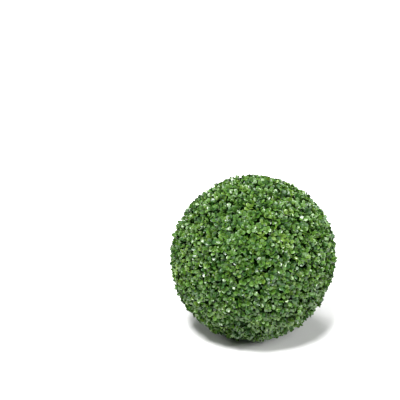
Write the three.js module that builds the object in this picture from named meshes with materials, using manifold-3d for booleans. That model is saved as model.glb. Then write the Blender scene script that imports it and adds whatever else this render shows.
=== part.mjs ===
// An artificial box topiary ball: a globe of moulded leaf sprigs that stand on a hollow core of two
// half shells, which a short hidden stem carries. Millimetres, +Z up. The origin is the centre of the
// flat cut under the stem, at ground level.
import * as THREE from "three";
import { mergeVertices } from "three/addons/utils/BufferGeometryUtils.js";
import Module from "manifold-3d";

// Driving dimensions.
const BALL_RADIUS = 192; // over the outermost leaf tips
const PRESSED_IN = 14; // leaf tips under the ball that its own weight has pressed flat
const CENTRE_Z = BALL_RADIUS - PRESSED_IN;
const GAP = 0.3; // between pieces that meet face to face
const WELD = 1e-3; // vertices closer than this are one

// Sprigs: each is one moulded cluster of shoots, so its tips make one low dome of the leafy surface.
const SPRIG_COUNT = 260;
const DOME_DEPTH = 4; // from a sprig's crown down to the seam between it and its neighbours
const SWELL_DEPTH = 3; // slow rise and fall of the whole surface
const SWELL_WAVES = 5;
const SWELL_PHASE = 3; // radians that the slowest wave runs through from the centre out, 1 more for each next
// The globe sits a little flat on one lower cheek and stands a little full on the other: which way each
// lies from the centre, how far in it reaches, and the angle in radians over which it fades.
const CHEEKS = [
  { towards: new THREE.Vector3(0.82, -0.24, -0.52), depth: 6, fade: 0.55 },
  { towards: new THREE.Vector3(-0.82, -0.24, -0.52), depth: -4, fade: 0.45 },
];
const BALL_DETAIL = 14; // subdivisions of each icosahedron edge

// The hollow core.
const CORE_RADIUS = 132;
const CORE_WALL = 3;
const CORE_SIDES = 28;
const CORE_ARC_STEPS = 7;
const SEAT_RADIUS = 19; // flat seat under the core, where the stem meets it

// The short stem inside, flared at its foot.
const STEM_FOOT_RADIUS = 20;
const STEM_TOP_RADIUS = 15;
const STEM_FLARE_HEIGHT = 16;
const STEM_FLARE_STEPS = 4;
const STEM_SIDES = 28;

const seatZ = CENTRE_Z - Math.sqrt(CORE_RADIUS ** 2 - SEAT_RADIUS ** 2);
const stemHeight = seatZ - GAP;

const material = (color, roughness) =>
  new THREE.MeshStandardMaterial({ color, roughness, metalness: 0 });
const FOLIAGE = material(0x4d7a35, 0.5);
const CORE = material(0x23301b, 0.7);
const STEM = material(0x4a3524, 0.8);

const wasm = await Module();
wasm.setup();

// A closed geometry as a solid that can be cut and joined.
function solidOf(geometry) {
  const bare = geometry.clone();
  for (const name of ["normal", "uv"]) bare.deleteAttribute(name);
  const merged = mergeVertices(bare, WELD);
  const vertProperties = new Float32Array(merged.attributes.position.array);
  const triVerts = new Uint32Array(merged.index.array);
  return new wasm.Manifold(new wasm.Mesh({ numProp: 3, vertProperties, triVerts }));
}

function geometryOf(solid) {
  const { vertProperties, triVerts } = solid.getMesh();
  const geometry = new THREE.BufferGeometry();
  geometry.setAttribute("position", new THREE.BufferAttribute(vertProperties, 3));
  geometry.setIndex(new THREE.BufferAttribute(triVerts, 1));
  geometry.computeVertexNormals();
  return geometry;
}

// Points spread evenly over the unit sphere by the golden angle.
function spiralDirections(count) {
  const goldenAngle = Math.PI * (3 - Math.sqrt(5));
  return Array.from({ length: count }, (_, i) => {
    const z = 1 - (2 * i + 1) / count;
    const across = Math.sqrt(1 - z * z);
    const turn = i * goldenAngle;
    return new THREE.Vector3(across * Math.cos(turn), across * Math.sin(turn), z);
  });
}

const sprigs = spiralDirections(SPRIG_COUNT);
const sprigReach = Math.sqrt(4 / SPRIG_COUNT); // angle from a sprig's crown to its seam
const swells = spiralDirections(SWELL_WAVES);

// How far the leaf tips reach from the ball's centre in one direction.
function tipRadius(direction) {
  const nearest = Math.min(...sprigs.map((s) => s.angleTo(direction)));
  const dome = Math.min(1, nearest / sprigReach) ** 2 * DOME_DEPTH;
  const wave = swells.reduce((sum, s, i) => sum + Math.sin((SWELL_PHASE + i) * s.dot(direction) + i), 0);
  const swell = (SWELL_DEPTH * (1 + wave / SWELL_WAVES)) / 2;
  const cheeks = CHEEKS.reduce((sum, cheek) => {
    const away = cheek.towards.angleTo(direction) / cheek.fade;
    return sum + cheek.depth * Math.exp(-(away ** 2));
  }, 0);
  return BALL_RADIUS - dome - swell - cheeks;
}

// The whole leafy globe, before it is pressed flat below and hollowed for the core.
function leafyGlobe() {
  const globe = new THREE.IcosahedronGeometry(1, BALL_DETAIL);
  const position = globe.attributes.position;
  const point = new THREE.Vector3();
  for (let i = 0; i < position.count; i++) {
    point.fromBufferAttribute(position, i).normalize();
    point.multiplyScalar(tipRadius(point));
    position.setXYZ(i, point.x, point.y, point.z);
  }
  return solidOf(globe.translate(0, 0, CENTRE_Z));
}

// A slab of space between two heights, wider than the ball.
function slab(bottom, top) {
  const side = BALL_RADIUS * 3;
  const box = new THREE.BoxGeometry(side, side, top - bottom);
  return solidOf(box.translate(0, 0, (top + bottom) / 2));
}

// A profile of (radius, height) pairs turned about the Z axis.
function turned(profile, sides) {
  const points = profile.map(([radius, height]) => new THREE.Vector2(radius, height));
  return new THREE.LatheGeometry(points, sides).rotateX(Math.PI / 2);
}

// One half shell's profile, from the seat or pole to the rim and back along the inner wall.
// Heights are measured from the core's centre, and run downwards when side is -1.
function shellProfile(side, hasSeat) {
  const inner = CORE_RADIUS - CORE_WALL;
  const quarter = Math.PI / 2;
  const seatAngle = hasSeat ? Math.asin(SEAT_RADIUS / CORE_RADIUS) : 0;
  const profile = hasSeat ? [[0, side * CORE_RADIUS * Math.cos(seatAngle)]] : [];
  const rimAngle = Math.acos(GAP / 2 / CORE_RADIUS);
  for (let i = 0; i <= CORE_ARC_STEPS; i++) {
    const angle = seatAngle + ((rimAngle - seatAngle) * i) / CORE_ARC_STEPS;
    const onAxis = i === 0 && !hasSeat;
    profile.push([onAxis ? 0 : CORE_RADIUS * Math.sin(angle), side * CORE_RADIUS * Math.cos(angle)]);
  }
  for (let i = CORE_ARC_STEPS; i >= 1; i--) {
    const angle = (quarter * i) / CORE_ARC_STEPS;
    const height = Math.max(GAP / 2, inner * Math.cos(angle));
    profile.push([inner * Math.sin(angle), side * height]);
  }
  // The wall is thicker over the flat seat, so the inner face stays clear of it.
  profile.push([0, side * (hasSeat ? CORE_RADIUS * Math.cos(seatAngle) - CORE_WALL : inner)]);
  return side < 0 ? profile : profile.reverse();
}

const coreHalf = (side, hasSeat) =>
  turned(shellProfile(side, hasSeat), CORE_SIDES).translate(0, 0, CENTRE_Z);

// The room that the core takes out of the foliage: its facets clear the core's rounder corners by a gap.
function coreRoom() {
  const steps = 2 * CORE_ARC_STEPS;
  const radius = CORE_RADIUS / Math.cos(Math.PI / steps / 2) + GAP;
  const profile = Array.from({ length: steps + 1 }, (_, i) => {
    const angle = Math.PI * (1 - i / steps);
    const onAxis = i === 0 || i === steps;
    return [onAxis ? 0 : radius * Math.sin(angle), radius * Math.cos(angle)];
  });
  return solidOf(turned(profile, CORE_SIDES).translate(0, 0, CENTRE_Z));
}

// The stem's side from its foot to its top, grown by a margin for the room it takes out of the foliage.
function stemSide(top, margin) {
  const side = [];
  for (let i = 0; i <= STEM_FLARE_STEPS; i++) {
    const rise = i / STEM_FLARE_STEPS;
    const flare = (STEM_FOOT_RADIUS - STEM_TOP_RADIUS) * (1 - rise) ** 2;
    side.push([STEM_TOP_RADIUS + flare + margin, STEM_FLARE_HEIGHT * rise]);
  }
  side.push([STEM_TOP_RADIUS + margin, top]);
  return side;
}

const stem = () => turned([[0, 0], ...stemSide(stemHeight, 0), [0, stemHeight]], STEM_SIDES);

// It runs out past the ground below and into the core above, so that it cuts clean through.
function stemRoom() {
  const [below, above] = [-CORE_WALL, stemHeight + CORE_WALL];
  const foot = STEM_FOOT_RADIUS + GAP;
  return solidOf(turned([[0, below], [foot, below], ...stemSide(above, GAP), [0, above]], STEM_SIDES));
}

const ballOfFoliage = new THREE.Group();

function addPart(name, geometry, look) {
  const mesh = new THREE.Mesh(geometry, look);
  mesh.name = name;
  ballOfFoliage.add(mesh);
}

const leaves = leafyGlobe().subtract(coreRoom()).subtract(stemRoom());
const lowerLeaves = leaves.intersect(slab(0, CENTRE_Z - GAP / 2));
const upperLeaves = leaves.intersect(slab(CENTRE_Z + GAP / 2, 2 * BALL_RADIUS));

addPart("stem", stem(), STEM);
addPart("core_lower_half", coreHalf(-1, true), CORE);
addPart("core_upper_half", coreHalf(1, false), CORE);
addPart("foliage_lower_half", geometryOf(lowerLeaves), FOLIAGE);
addPart("foliage_upper_half", geometryOf(upperLeaves), FOLIAGE);

export default ballOfFoliage;
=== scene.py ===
"""Looks of a clipped ball of artificial box.

Sprigs are plugged into a hollow moulded core. Each one forks into shoots, and each shoot carries crossed
pairs of rounded, cupped leaves that end in a small rosette. Lengths are in metres, as in the frame.
"""

import math

import bpy
import numpy as np
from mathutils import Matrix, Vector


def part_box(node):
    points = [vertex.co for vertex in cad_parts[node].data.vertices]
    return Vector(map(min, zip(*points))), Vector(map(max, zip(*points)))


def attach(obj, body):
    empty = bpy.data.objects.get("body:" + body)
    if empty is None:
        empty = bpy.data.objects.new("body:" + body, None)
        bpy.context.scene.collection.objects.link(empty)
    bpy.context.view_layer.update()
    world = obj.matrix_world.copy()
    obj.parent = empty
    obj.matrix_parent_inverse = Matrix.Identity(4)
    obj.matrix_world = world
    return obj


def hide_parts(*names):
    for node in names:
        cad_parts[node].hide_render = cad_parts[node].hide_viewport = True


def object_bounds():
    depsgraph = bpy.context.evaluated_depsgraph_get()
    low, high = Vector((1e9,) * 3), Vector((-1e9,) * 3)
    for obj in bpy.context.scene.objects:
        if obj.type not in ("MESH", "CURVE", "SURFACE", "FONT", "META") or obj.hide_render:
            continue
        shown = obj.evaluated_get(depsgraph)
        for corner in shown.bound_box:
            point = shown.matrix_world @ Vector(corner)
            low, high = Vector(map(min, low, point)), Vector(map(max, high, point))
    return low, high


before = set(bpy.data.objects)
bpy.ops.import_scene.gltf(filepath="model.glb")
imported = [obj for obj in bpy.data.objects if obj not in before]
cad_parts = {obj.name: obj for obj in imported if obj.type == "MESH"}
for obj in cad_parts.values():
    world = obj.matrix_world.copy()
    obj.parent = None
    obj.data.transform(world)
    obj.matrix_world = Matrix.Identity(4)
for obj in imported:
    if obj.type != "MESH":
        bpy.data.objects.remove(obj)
cad_low, cad_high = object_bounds()

MM = 0.001
SEED = 38
FULL_TURN = 2 * math.pi
QUARTER_TURN = math.pi / 2
GOLDEN_ANGLE = math.pi * (3 - math.sqrt(5))

# The ball, as the frame gives it.
BALL_RADIUS = max(cad_high.x - cad_low.x, cad_high.y - cad_low.y) / 2
SEAM_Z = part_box("foliage_upper_half")[0].z
CENTRE = np.array([0.0, 0.0, SEAM_Z])
CORE_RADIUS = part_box("core_upper_half")[1].x

# Sprigs stand evenly on the core. A sprig reaches this angle from its middle to its edge, and a shoot that
# ends past the edge counts as lying no further out than the limit.
SPRIG_COUNT = 260
SPRIG_REACH = math.sqrt(4 / SPRIG_COUNT)
EDGE_LIMIT = 1.2

# Shoots end evenly over the ball, each moved by a share of the space between them.
SHOOT_COUNT = 2400
SHOOT_SPACING = math.sqrt(4 * math.pi / SHOOT_COUNT)
SHOOT_SCATTER = 0.18 * SHOOT_SPACING

# Depth of the shoots' tips inside the ball, and how much deeper they are at the edge of a sprig. They
# scatter by a little, and a few strays reach out by a share of the stray reach.
TIP_DEPTH = 6.5 * MM
DOME_DEPTH = 2 * MM
TIP_SCATTER = 1.6 * MM
STRAY_SHARE = 0.03
STRAY_REACH = 6 * MM
STRAY_LEAST = 0.3

# The ball isn't quite round. It swells slowly, and it sits a little flat on one lower cheek and stands a
# little full on the other: which way each lies, how far in it reaches, and the angle over which it fades.
SWELL_DEPTH = 3 * MM
SWELL_WAVES = 5
SLOWEST_WAVE = 3
CHEEKS = (
    ((0.82, -0.24, -0.52), 6 * MM, 0.55),
    ((-0.82, -0.24, -0.52), -4 * MM, 0.45),
)

# A sprig's stem starts just inside the core, and forks between these heights over it.
ROOT_DEPTH = 1 * MM
FORK_LOW, FORK_HIGH = 8 * MM, 20 * MM
STEM_RADIUS = 1.7 * MM
STEM_POINTS, STEM_SIDES = 4, 6

# A shoot curves out from its fork. Its twig takes every other point of the leaves' path.
BEND_OUT = 30 * MM
BEND_SCATTER = 2.5 * MM
SHOOT_RADIUS = 1.0 * MM
SHOOT_TAPER = 0.55
SHOOT_POINTS, SHOOT_SIDES = 7, 4

# Pairs of leaves, from the tip of a shoot inward: place below the tip, length and width in millimetres,
# and spread in degrees from the shoot. Pairs past the deep line are in shade, and take the inner tone or
# the deep one, so their darker colour is painted shade. Pairs past the shade line are all inner leaves,
# which are plainer, and whose dark colour is painted shade.
LEAF_PAIRS = (
    (0.0, 6.4, 4.5, 22),
    (1.8, 11.0, 8.8, 46),
    (4.0, 12.2, 9.8, 62),
    (10.0, 13.2, 10.2, 66),
    (17.0, 13.6, 10.2, 70),
    (24.0, 13.8, 10.4, 76),
)
DEEP_LINE = 8.0
SHADE_LINE = 14.0

# Leaves differ by their shoot's size and their own, and scatter in their spread, in radians round the
# shoot, in their roll and in the quarter turn from pair to pair. They sit just off the shoot's middle.
SHOOT_SIZES = (0.86, 1.12)
LEAF_SIZES = (0.88, 1.1)
SPREAD_SCATTER = 14
ROUND_SCATTER = 0.14
ROLL_SCATTER = 0.38
CROSS_SCATTER = 0.1
FOOT_REACH = 0.8 * SHOOT_RADIUS

# Mean and scatter of the cup across a blade, and of its arch as a share of its length. An arched blade
# reaches less far.
CUP = (0.28, 0.24)
ARCH = (0.02, 0.16)
ARCH_LOSS = 0.3

# A blade's outline: over 1, the skew moves its widest place to the tip, and the power rounds its ends.
# Each half puffs up beside the midrib by a share of its width.
BLADE_SKEW = 1.25
BLADE_POWER = 0.5
BULGE = 0.2

# Shares of the pairs that keep their shoot's tone, of the shoots whose smallest pair is young and fresh,
# and of the pairs in shade that are inner leaves, dark with painted shade.
OWN_TONE_SHARE = 0.4
YOUNG_SHARE = 0.5
INNER_SHARE = 0.6

# Tones of the sprays: share of the pairs in the light, blade colour and rim colour. The rim colour is
# lighter than the blade, a painted sheen on the cupped edges. The inner tone is dark as painted shade, and
# so is the deep tone where it is given to pairs in shade.
TONES = {
    "inner": (0, (0.006, 0.036, 0.001), (0.006, 0.036, 0.001)),
    "deep": (0.26, (0.022, 0.082, 0.011), (0.032, 0.104, 0.015)),
    "mid": (0.40, (0.042, 0.122, 0.009), (0.058, 0.152, 0.013)),
    "light": (0.26, (0.062, 0.156, 0.013), (0.084, 0.192, 0.019)),
    "fresh": (0.08, (0.088, 0.180, 0.013), (0.116, 0.216, 0.019)),
}

LEAF_GRAIN, LEAF_RELIEF = 1.8 * MM, 0.12 * MM
LEAF_ROUGHNESS, LEAF_SHINE = 0.38, 0.85
INNER_ROUGHNESS, INNER_SHINE = 0.65, 0.06

# The floor flattens what would go below it over this height, and moves nothing above so many heights.
PRESS = 3.5 * MM
PRESS_LIMIT = 12

# The core's rim has a low lip, and a boss stands round the foot of each sprig.
CORE_AROUND, CORE_DOWN = 72, 24
CORE_LIP = 1 * MM
BOSS_HEIGHTS = np.array([-ROOT_DEPTH, 3 * MM, 4 * MM])
BOSS_RADII = (4.5 * MM, 4 * MM, 3 * MM)
BOSS_SIDES = 8

# The stem narrows from its foot to this share, over a flare that fades with height, and has bark ridges.
BARK_AROUND, BARK_RINGS = 48, 20
STEM_WAIST = 0.75
FLARE_FADE = 5
BARK_RELIEF = 0.8 * MM

rng = np.random.default_rng(SEED)


# Vectors

def unit(v):
    return v / np.linalg.norm(v, axis=-1, keepdims=True)


def any_side(direction):
    """A unit vector square to the direction."""
    helper = np.array([1.0, 0.0, 0.0]) if abs(direction[0]) < 0.7 else np.array([0.0, 1.0, 0.0])
    return unit(np.cross(direction, helper))


def turned(vector, axis, angle):
    """The vector turned about a unit axis."""
    along = axis * np.dot(axis, vector)
    return along + (vector - along) * math.cos(angle) + np.cross(axis, vector) * math.sin(angle)


def spiral_directions(count):
    """Even directions over a sphere, on a golden-angle spiral."""
    made = []
    for i in range(count):
        z = 1 - (2 * i + 1) / count
        ring = math.sqrt(1 - z * z)
        made.append(np.array([ring * math.cos(i * GOLDEN_ANGLE), ring * math.sin(i * GOLDEN_ANGLE), z]))
    return made


def pressed(points):
    """Points near or below the floor, eased up onto it."""
    made = points.copy()
    height = points[..., 2]
    eased = PRESS * np.log1p(np.exp(np.minimum(height / PRESS, PRESS_LIMIT)))
    made[..., 2] = np.where(height > PRESS_LIMIT * PRESS, height, eased)
    return made


# Meshes

def add_piece(name, points, faces, materials, replaces, material_index=None):
    """A smooth mesh piece that rides on the root and stands for the named CAD nodes."""
    mesh = bpy.data.meshes.new(name)
    mesh.from_pydata(points, [], faces)
    mesh.polygons.foreach_set("use_smooth", np.ones(len(mesh.polygons), bool))
    for material in materials:
        mesh.materials.append(material)
    if material_index is not None:
        mesh.polygons.foreach_set("material_index", material_index)
    mesh.update()
    piece = bpy.data.objects.new(name, mesh)
    bpy.context.scene.collection.objects.link(piece)
    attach(piece, "root")
    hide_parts(*replaces)
    return piece


def bands(rings, around):
    """Triangles between rings of points, each ring next to the one before and closed on itself."""
    triangles = []
    for ring in range(rings - 1):
        for k in range(around):
            a = ring * around + k
            b = ring * around + (k + 1) % around
            triangles += [(a, b, b + around), (a, b + around, a + around)]
    return triangles


def fan(first, around, middle):
    """Triangles from the ring that starts at the first point to a point in its middle."""
    return [(first + k, first + (k + 1) % around, middle) for k in range(around)]


def tube(path, radii, sides):
    """Points and triangles of a tapering tube along a path, closed at its tip."""
    ahead = unit(np.gradient(path, axis=0))
    side = any_side(ahead[0])
    rings = []
    for point, way, radius in zip(path, ahead, radii):
        side = unit(side - way * np.dot(side, way))
        other = np.cross(way, side)
        for k in range(sides):
            turn = FULL_TURN * k / sides
            rings.append(point + radius * (side * math.cos(turn) + other * math.sin(turn)))
    triangles = bands(len(path), sides)
    last = (len(path) - 1) * sides
    triangles += [(last, last + k, last + k + 1) for k in range(1, sides - 1)]
    return np.array(rings), np.array(triangles)


def joined(parts):
    """One array of points and one of triangles from many."""
    points, faces, start = [], [], 0
    for part_points, part_faces in parts:
        points.append(part_points)
        faces.append(part_faces + start)
        start += len(part_points)
    return np.concatenate(points), np.concatenate(faces)


# Leaves

def blade_width(along):
    """Width of an obovate blade along its length, from 0 at the foot to 1 at its widest."""
    return np.sin(math.pi * along ** BLADE_SKEW) ** BLADE_POWER


def blade_template(stations, strips):
    """Points of a flat blade as (along, across), its triangles, and which triangles are the rim, whose
    lighter colour is a painted sheen.

    The blade is a midrib with strips on both sides of it. Foot and tip are single points.
    """
    points = [(along, 0.0) for along in (0.0, *stations, 1.0)]
    foot, tip = 0, len(points) - 1
    rows = {}
    for side in (-1, 1):
        for edge in strips:
            rows[side, edge] = range(len(points), len(points) + len(stations))
            points += [(along, side * edge) for along in stations]
    triangles, rim = [], []
    for side in (-1, 1):
        inner = range(1, tip)
        for edge in strips:
            outer = rows[side, edge]
            strip = [(foot, outer[0], inner[0])]
            for k in range(len(stations) - 1):
                strip += [(inner[k], outer[k], outer[k + 1]), (inner[k], outer[k + 1], inner[k + 1])]
            strip.append((inner[-1], outer[-1], tip))
            triangles += strip if side == 1 else [corners[::-1] for corners in strip]
            rim += [edge == strips[-1] and len(strips) > 1] * len(strip)
            inner = outer
    return np.array(points), np.array(triangles), np.array(rim)


FINE_BLADE = blade_template((0.16, 0.42, 0.70, 0.90), (0.66, 1.0))
PLAIN_BLADE = blade_template((0.18, 0.46, 0.74, 0.92), (1.0,))


class Leaves:
    """Rows of leaves that are waiting to be made into one piece."""

    def __init__(self):
        self.rows = []

    def add(self, foot, ahead, up, length, width, cup, arch):
        self.rows.append((*foot, *ahead, *up, length, width, cup, arch))

    def build(self, template):
        """All the leaves as points, triangles and rim flags; the rim takes a lighter colour as a painted
        sheen.
        """
        flat, triangles, rim = template
        rows = np.array(self.rows)
        foot, ahead, up = rows[:, None, 0:3], rows[:, None, 3:6], rows[:, None, 6:9]
        length, width, cup, arch = (rows[:, None, k] for k in (9, 10, 11, 12))
        along, across = flat[None, :, 0], flat[None, :, 1]
        edge = np.abs(across)
        half = width / 2 * blade_width(along)
        reach = length * along * (1 - ARCH_LOSS * arch * arch * along)
        aside = across * half * np.cos(cup * edge)
        lift = half * (cup * edge * edge + BULGE * np.sin(math.pi * edge)) + arch * length * along * along
        sideways = np.cross(up, ahead)
        points = foot + ahead * reach[..., None] + sideways * aside[..., None] + up * lift[..., None]
        count, size = len(rows), len(flat)
        offsets = (np.arange(count) * size)[:, None, None]
        faces = (triangles[None] + offsets).reshape(-1, 3)
        return points.reshape(-1, 3), faces, np.tile(rim, count)


def deal(sprays):
    """The leaves of one tone, drawn by the tones' shares."""
    shares = [share for share, _, _ in TONES.values()]
    return sprays[rng.choice(list(TONES), p=shares)]


def add_leaf_pairs(path, sprays, size):
    """Crossed pairs of leaves down a shoot from its tip."""
    own = deal(sprays)
    steps = np.linalg.norm(np.diff(path, axis=0), axis=1)
    reach = np.concatenate([[0], np.cumsum(steps)])
    ways = unit(np.gradient(path, axis=0))
    side = turned(any_side(ways[-1]), ways[-1], rng.uniform(0, FULL_TURN))
    for below, length, width, spread in LEAF_PAIRS:
        place = reach[-1] - below * MM * size
        if place < 0:
            break
        node = np.array([np.interp(place, reach, path[:, k]) for k in range(3)])
        way = unit(np.array([np.interp(place, reach, ways[:, k]) for k in range(3)]))
        side = unit(side - way * np.dot(side, way))
        # Pairs in shade take the dark inner or deep tone, as painted shade.
        if below > SHADE_LINE:
            leaves = sprays["inner"]
        elif below > DEEP_LINE:
            leaves = sprays["inner" if rng.random() < INNER_SHARE else "deep"]
        elif below == 0 and rng.random() < YOUNG_SHARE:
            leaves = sprays["fresh"]
        else:
            leaves = own if rng.random() < OWN_TONE_SHARE else deal(sprays)
        for sign in (-1, 1):
            out = turned(side * sign, way, rng.normal(0, ROUND_SCATTER))
            angle = math.radians(spread + rng.normal(0, SPREAD_SCATTER))
            ahead = way * math.cos(angle) + out * math.sin(angle)
            up = way * math.sin(angle) - out * math.cos(angle)
            up = turned(up, ahead, rng.normal(0, ROLL_SCATTER))
            leaves.add(
                node + out * FOOT_REACH, ahead, up,
                length * MM * size * rng.uniform(*LEAF_SIZES),
                width * MM * size * rng.uniform(*LEAF_SIZES),
                rng.normal(*CUP), rng.normal(*ARCH),
            )
        side = turned(side, way, QUARTER_TURN + rng.normal(0, CROSS_SCATTER))


# Branching

SWELLS = spiral_directions(SWELL_WAVES)
CHEEK_WAYS = [unit(np.array(towards)) for towards, _, _ in CHEEKS]


def hollow(way):
    """How far the leafy surface lies inside the round ball in one direction."""
    waves = [math.sin((SLOWEST_WAVE + i) * np.dot(swell, way) + i) for i, swell in enumerate(SWELLS)]
    depth = SWELL_DEPTH * (1 + sum(waves) / SWELL_WAVES) / 2
    for cheek_way, (_, cheek_depth, fade) in zip(CHEEK_WAYS, CHEEKS):
        away = math.acos(np.clip(np.dot(cheek_way, way), -1, 1)) / fade
        depth += cheek_depth * math.exp(-away ** 2)
    return depth


def tip_place(way, from_middle):
    """Where a shoot ends: on a low dome over its sprig, with scatter and a few strays."""
    reach = BALL_RADIUS - TIP_DEPTH - hollow(way) - DOME_DEPTH * from_middle ** 2
    reach += rng.normal(0, TIP_SCATTER)
    if rng.random() < STRAY_SHARE:
        reach += rng.uniform(STRAY_LEAST, 1) * STRAY_REACH
    return CENTRE + way * reach


def grow_sprig(direction, ways, twigs, sprays):
    """One sprig: a short stem from the core that forks into a leafy shoot for each way out."""
    stem_reach = np.linspace(CORE_RADIUS - ROOT_DEPTH, CORE_RADIUS + FORK_HIGH, STEM_POINTS)
    stem = CENTRE + direction * stem_reach[:, None]
    twigs.append(tube(pressed(stem), np.linspace(STEM_RADIUS, SHOOT_RADIUS, STEM_POINTS), STEM_SIDES))
    along = np.linspace(0, 1, SHOOT_POINTS)[:, None]
    for way in ways:
        from_middle = min(EDGE_LIMIT, np.linalg.norm(way - direction) / SPRIG_REACH)
        tip = tip_place(way, from_middle)
        fork = CENTRE + direction * (CORE_RADIUS + rng.uniform(FORK_LOW, FORK_HIGH))
        bend = (fork + tip) / 2 + (way - direction) * BEND_OUT + rng.normal(0, BEND_SCATTER, 3)
        path = pressed(fork * (1 - along) ** 2 + bend * 2 * along * (1 - along) + tip * along * along)
        twig = path[::2]
        radii = np.linspace(SHOOT_RADIUS, SHOOT_RADIUS * SHOOT_TAPER, len(twig))
        twigs.append(tube(twig, radii, SHOOT_SIDES))
        add_leaf_pairs(path, sprays, rng.uniform(*SHOOT_SIZES))


def grow_half(half, sprigs):
    """All the sprigs of one half of the ball, as one piece of twigs and one piece of leaves per tone."""
    sprays = {tone: Leaves() for tone in TONES}
    twigs = []
    for direction, ways in sprigs:
        grow_sprig(direction, ways, twigs, sprays)
    node = f"foliage_{half}_half"
    points, faces = joined(twigs)
    add_piece(f"twigs_{half}", pressed(points), faces, [twig_material()], [node])
    for tone, leaves in sprays.items():
        points, faces, rim = leaves.build(PLAIN_BLADE if tone == "inner" else FINE_BLADE)
        # Rim triangles take the tone's second, lighter material, a painted sheen; the inner leaves have no
        # rim.
        add_piece(
            f"leaves_{half}_{tone}", pressed(points), faces,
            leaf_materials(tone), [node], rim.astype(np.int32),
        )


def shared_out():
    """Each sprig's direction with the ways out of its shoots, which go to the nearest sprig."""
    sprigs = np.array(spiral_directions(SPRIG_COUNT))
    ways = np.array(spiral_directions(SHOOT_COUNT))
    ways = unit(ways + rng.normal(0, SHOOT_SCATTER, ways.shape))
    nearest = np.argmax(ways @ sprigs.T, axis=1)
    return [(sprigs[i], ways[nearest == i]) for i in range(SPRIG_COUNT)]


# Materials

# Between these heights of the noise, the roughness runs from its least to its most.
NOISE_LOW, NOISE_HIGH = 0.3, 0.7
LESS_ROUGH, MORE_ROUGH = 0.08, 0.10
NOISE_DETAIL = 2
RELIEF_STRENGTH = 0.5


def plastic(name, colour, roughness, grain, relief, shine=0.5):
    """Moulded plastic with a fine uneven gloss and grain. A name is made once."""
    if name in bpy.data.materials:
        return bpy.data.materials[name]
    material = bpy.data.materials.new(name)
    material.use_nodes = True
    nodes, links = material.node_tree.nodes, material.node_tree.links
    shader = nodes["Principled BSDF"]
    shader.inputs["Base Color"].default_value = (*colour, 1)
    shader.inputs["Specular IOR Level"].default_value = shine
    place = nodes.new("ShaderNodeTexCoord")
    noise = nodes.new("ShaderNodeTexNoise")
    noise.inputs["Scale"].default_value = 1 / grain
    noise.inputs["Detail"].default_value = NOISE_DETAIL
    links.new(place.outputs["Object"], noise.inputs["Vector"])
    gloss = nodes.new("ShaderNodeMapRange")
    gloss.inputs["From Min"].default_value = NOISE_LOW
    gloss.inputs["From Max"].default_value = NOISE_HIGH
    gloss.inputs["To Min"].default_value = roughness - LESS_ROUGH
    gloss.inputs["To Max"].default_value = roughness + MORE_ROUGH
    links.new(noise.outputs["Fac"], gloss.inputs["Value"])
    links.new(gloss.outputs["Result"], shader.inputs["Roughness"])
    bump = nodes.new("ShaderNodeBump")
    bump.inputs["Strength"].default_value = RELIEF_STRENGTH
    bump.inputs["Distance"].default_value = relief
    links.new(noise.outputs["Fac"], bump.inputs["Height"])
    links.new(bump.outputs["Normal"], shader.inputs["Normal"])
    return material


def leaf_materials(tone):
    """The blade's plastic and the rim's lighter plastic, which is a painted sheen, or one matter plastic
    for the inner leaves, whose dark colour is painted shade.
    """
    _, blade, rim = TONES[tone]
    if tone == "inner":
        return [plastic("leaf_inner", blade, INNER_ROUGHNESS, LEAF_GRAIN, LEAF_RELIEF, INNER_SHINE)]
    return [
        plastic(f"leaf_{tone}", blade, LEAF_ROUGHNESS, LEAF_GRAIN, LEAF_RELIEF, LEAF_SHINE),
        plastic(f"leaf_{tone}_rim", rim, LEAF_ROUGHNESS, LEAF_GRAIN, LEAF_RELIEF, LEAF_SHINE),
    ]


def twig_material():
    return plastic("twig", (0.045, 0.080, 0.012), 0.55, 1.2 * MM, 0.2 * MM, 0.2)


def core_material():
    return plastic("core_shell", (0.016, 0.042, 0.008), 0.6, 2.0 * MM, 0.2 * MM, 0.1)


def stem_material():
    return plastic("stem_bark", (0.060, 0.040, 0.020), 0.6, 1.5 * MM, 0.4 * MM)


# Core and stem

def half_shell(side):
    """Half of the hollow core, upward when the side is 1 and downward when it is -1."""
    points = []
    for i in range(CORE_DOWN):
        angle = QUARTER_TURN * i / CORE_DOWN
        radius = CORE_RADIUS + (CORE_LIP if i == 0 else 0)
        for k in range(CORE_AROUND):
            turn = FULL_TURN * k / CORE_AROUND
            points.append((
                radius * math.cos(angle) * math.cos(turn),
                radius * math.cos(angle) * math.sin(turn),
                side * radius * math.sin(angle),
            ))
    points.append((0, 0, side * CORE_RADIUS))
    last = (CORE_DOWN - 1) * CORE_AROUND
    faces = np.array(bands(CORE_DOWN, CORE_AROUND) + fan(last, CORE_AROUND, len(points) - 1))
    return np.array(points) + CENTRE, faces if side == 1 else faces[:, ::-1]


def core_half(half, directions):
    """Half of the core, with a boss round the foot of each sprig."""
    parts = [half_shell(1 if half == "upper" else -1)]
    for direction in directions:
        boss = CENTRE + direction * (CORE_RADIUS + BOSS_HEIGHTS)[:, None]
        parts.append(tube(boss, BOSS_RADII, BOSS_SIDES))
    points, faces = joined(parts)
    add_piece(f"core_{half}", points, faces, [core_material()], [f"core_{half}_half"])


def bark_ridge(turn, up):
    """Height of the bark, from -1 to 1, in upright ridges that wander and break up."""
    return math.sin(7 * turn + 2 * math.sin(5 * up)) * math.sin(11 * turn + 4 * up)


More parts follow.
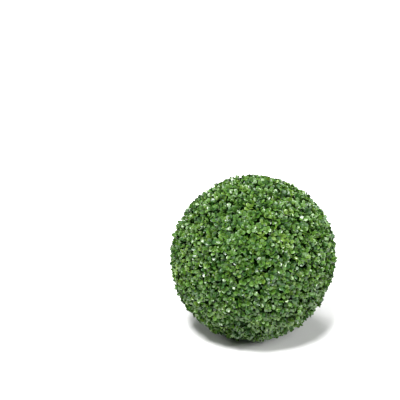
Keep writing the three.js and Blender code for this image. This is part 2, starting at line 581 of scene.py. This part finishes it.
def stem_piece():
    """The short stem under the core, with upright ridges of bark moulded on it."""
    low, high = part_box("stem")
    points = []
    for i in range(BARK_RINGS):
        up = i / (BARK_RINGS - 1)
        radius = high.x * (STEM_WAIST + (1 - STEM_WAIST) * math.exp(-up * FLARE_FADE))
        for k in range(BARK_AROUND):
            turn = FULL_TURN * k / BARK_AROUND
            reach = radius - BARK_RELIEF + BARK_RELIEF * bark_ridge(turn, up)
            points.append((reach * math.cos(turn), reach * math.sin(turn), low.z + (high.z - low.z) * up))
    last = (BARK_RINGS - 1) * BARK_AROUND
    points += [(0, 0, low.z), (0, 0, high.z)]
    foot = [corners[::-1] for corners in fan(0, BARK_AROUND, len(points) - 2)]
    top = fan(last, BARK_AROUND, len(points) - 1)
    faces = bands(BARK_RINGS, BARK_AROUND) + foot + top
    add_piece("stem_bark", np.array(points), np.array(faces), [stem_material()], ["stem"])


# Studio

VIEW_ELEVATION = math.radians(25)
VIEW_DISTANCE = 2.29
PITCH = math.radians(21.76)
YAW = math.radians(3.37)
LENS_MM = 90

# Far softboxes: name, azimuth and elevation in degrees, spread in degrees and strength. Azimuth 0 is in
# front of the ball, and turns to the right.
LIGHTS = (
    ("key", -20, 62, 14, 5.6),
    ("second", 34, 46, 18, 0.9),
    ("left", -84, 38, 20, 0.7),
    ("right", 80, 26, 20, 2.0),
    ("back", -160, 66, 24, 2.5),
)
SKY_STRENGTH = 0.07
FLOOR_HALF_SIZE = 60
FLOOR_COLOUR = (0.78, 0.78, 0.78)
FLOOR_ROUGHNESS = 0.8


def add_camera():
    """The camera stands in front of the ball, and looks a little above it and to its left."""
    camera = bpy.data.objects.new("camera", bpy.data.cameras.new("camera"))
    camera.data.lens = LENS_MM
    camera.location = (
        0,
        -VIEW_DISTANCE * math.cos(VIEW_ELEVATION),
        CENTRE[2] + VIEW_DISTANCE * math.sin(VIEW_ELEVATION),
    )
    camera.rotation_euler = (math.pi / 2 - PITCH, 0, YAW)
    bpy.context.scene.collection.objects.link(camera)
    bpy.context.scene.camera = camera


def add_light(name, azimuth, elevation, spread, strength):
    """A sun lamp as wide in the sky as a far softbox."""
    data = bpy.data.lights.new(name, "SUN")
    data.angle = math.radians(spread)
    data.energy = strength
    light = bpy.data.objects.new(name, data)
    light.rotation_euler = (math.radians(90 - elevation), 0, math.radians(azimuth))
    bpy.context.scene.collection.objects.link(light)


def add_floor():
    """A plain pale floor, wide enough to fill every view."""
    mesh = bpy.data.meshes.new("floor")
    corners = np.array([(-1, -1, 0), (1, -1, 0), (1, 1, 0), (-1, 1, 0)]) * FLOOR_HALF_SIZE
    mesh.from_pydata(corners, [], [(0, 1, 2, 3)])
    material = bpy.data.materials.new("floor")
    material.use_nodes = True
    shader = material.node_tree.nodes["Principled BSDF"]
    shader.inputs["Base Color"].default_value = (*FLOOR_COLOUR, 1)
    shader.inputs["Roughness"].default_value = FLOOR_ROUGHNESS
    mesh.materials.append(material)
    floor = bpy.data.objects.new("floor", mesh)
    bpy.context.scene.collection.objects.link(floor)


def add_studio():
    """A faint white sky and the softboxes."""
    world = bpy.data.worlds.new("studio")
    world.use_nodes = True
    background = world.node_tree.nodes["Background"]
    background.inputs["Color"].default_value = (1, 1, 1, 1)
    background.inputs["Strength"].default_value = SKY_STRENGTH
    bpy.context.scene.world = world
    bpy.context.scene.view_settings.view_transform = "Standard"
    for light in LIGHTS:
        add_light(*light)


def main():
    add_camera()
    add_studio()
    add_floor()
    sprigs = shared_out()
    halves = {
        "upper": [sprig for sprig in sprigs if sprig[0][2] >= 0],
        "lower": [sprig for sprig in sprigs if sprig[0][2] < 0],
    }
    for half, chosen in halves.items():
        core_half(half, [direction for direction, _ in chosen])
        grow_half(half, chosen)
    stem_piece()


main()
